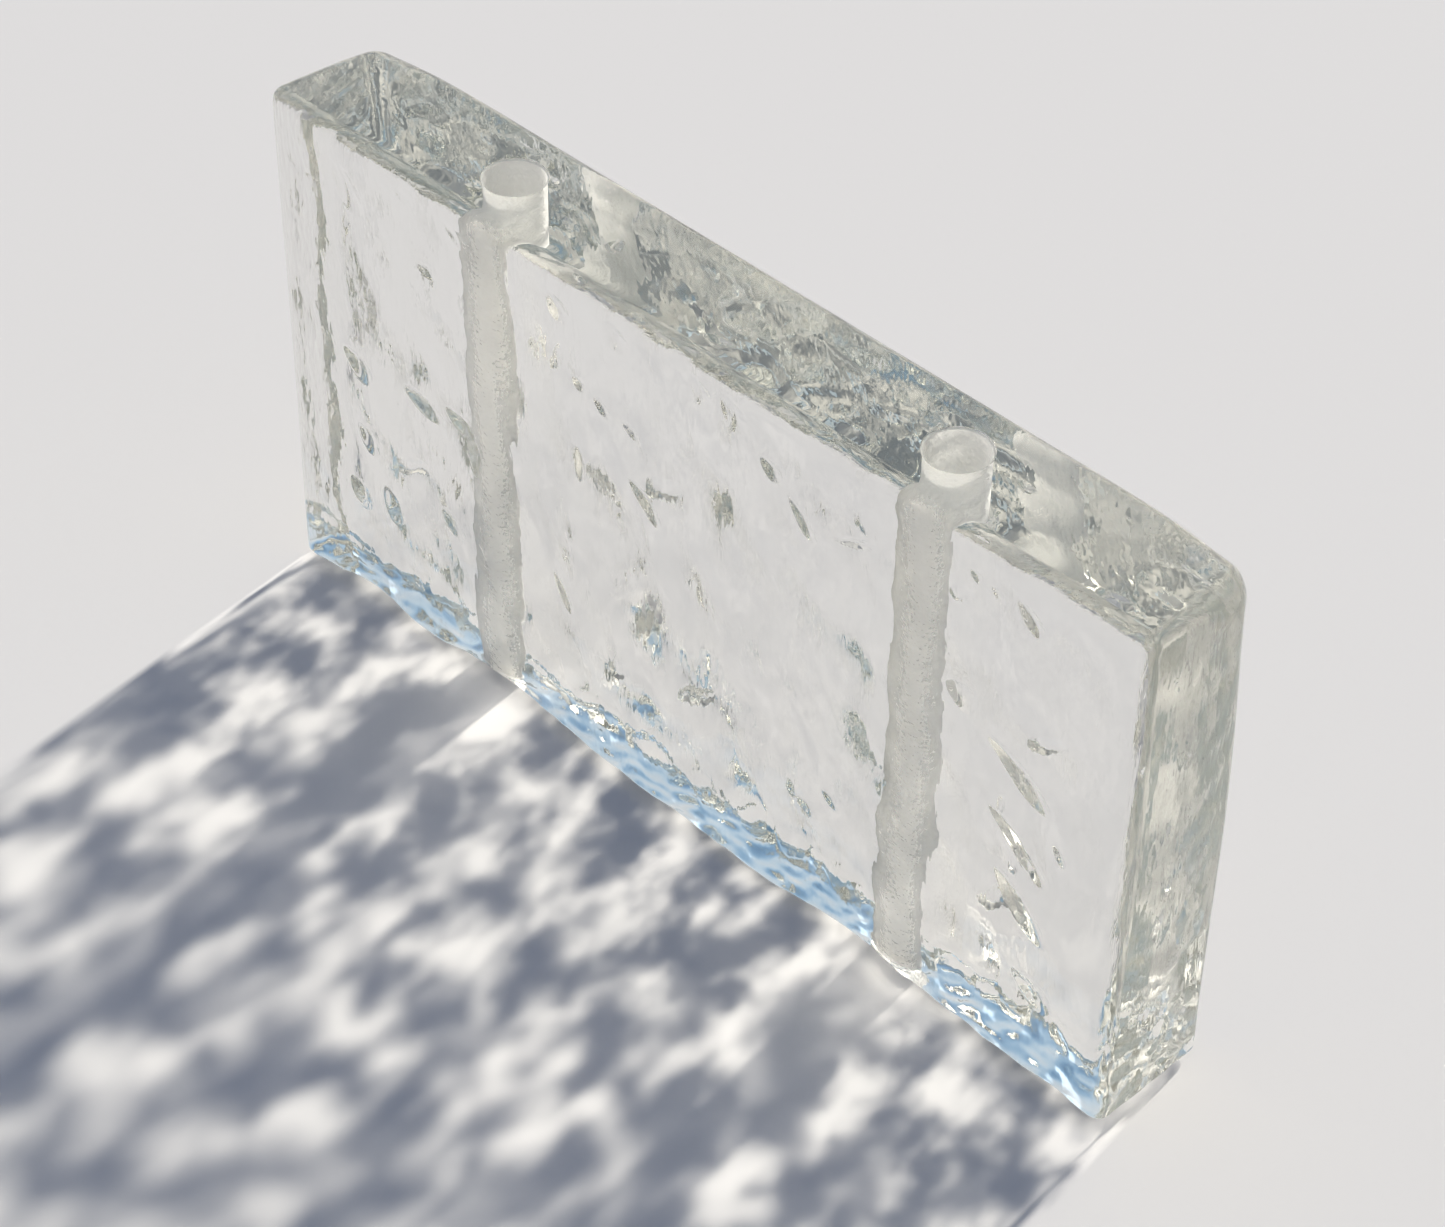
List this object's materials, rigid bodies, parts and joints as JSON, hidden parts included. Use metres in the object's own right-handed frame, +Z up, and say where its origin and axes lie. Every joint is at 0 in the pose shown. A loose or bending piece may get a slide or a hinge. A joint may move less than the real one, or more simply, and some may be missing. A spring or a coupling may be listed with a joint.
{
  "type": "cast glass brick",
  "caption": "Solid clear cast glass brick with rippled large faces, fire-rounded edges and through-bores for steel rods.",
  "frame": {"origin": "middle of the bed face, the long narrow face that the brick stands on", "axes": "+X along the length, +Y through the thickness from the front face to the back face, +Z up along the bores"},
  "size_m": [0.24, 0.03, 0.125],
  "materials": {
    "clear_glass": "clear cast glass with fire-polished, rippled faces and ground bore walls"
  },
  "bodies": {
    "root": {"glass_block": "clear_glass"}
  },
  "joints": []
}
